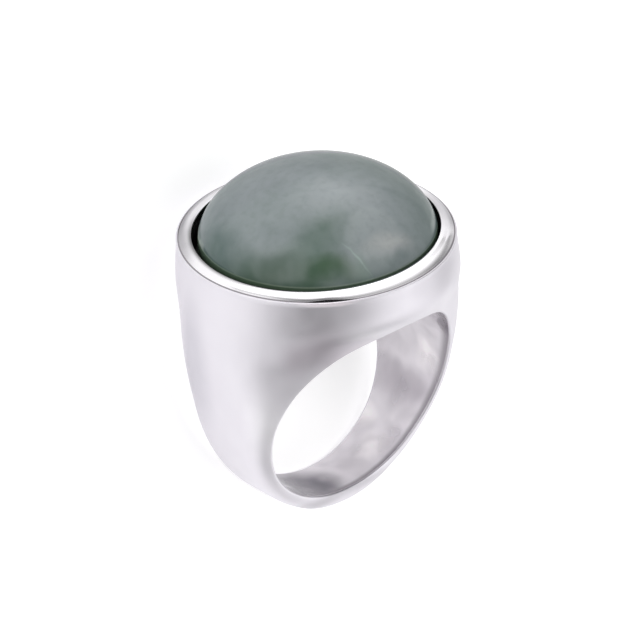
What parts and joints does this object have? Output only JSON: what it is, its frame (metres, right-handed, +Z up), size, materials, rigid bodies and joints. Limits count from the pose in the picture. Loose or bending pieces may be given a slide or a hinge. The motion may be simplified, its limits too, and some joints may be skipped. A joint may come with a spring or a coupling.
{
  "type": "stone ring",
  "caption": "Wide metal ring that swells into an oval head, with a large round green cabochon set down inside a sloping polished rim, lying on its side.",
  "frame": {"origin": "middle of the ring's outline on the surface that it lies on", "axes": "+Z up from the surface, -Y the way that the stone faces, X across the finger hole"},
  "size_m": [0.024, 0.0302, 0.0228],
  "materials": {
    "steel": "bright satin, with a polished rim and hole edges",
    "green_stone": "polished, milky and opaque"
  },
  "bodies": {
    "root": {"ring_body": "steel", "stone": "green_stone"}
  },
  "joints": []
}
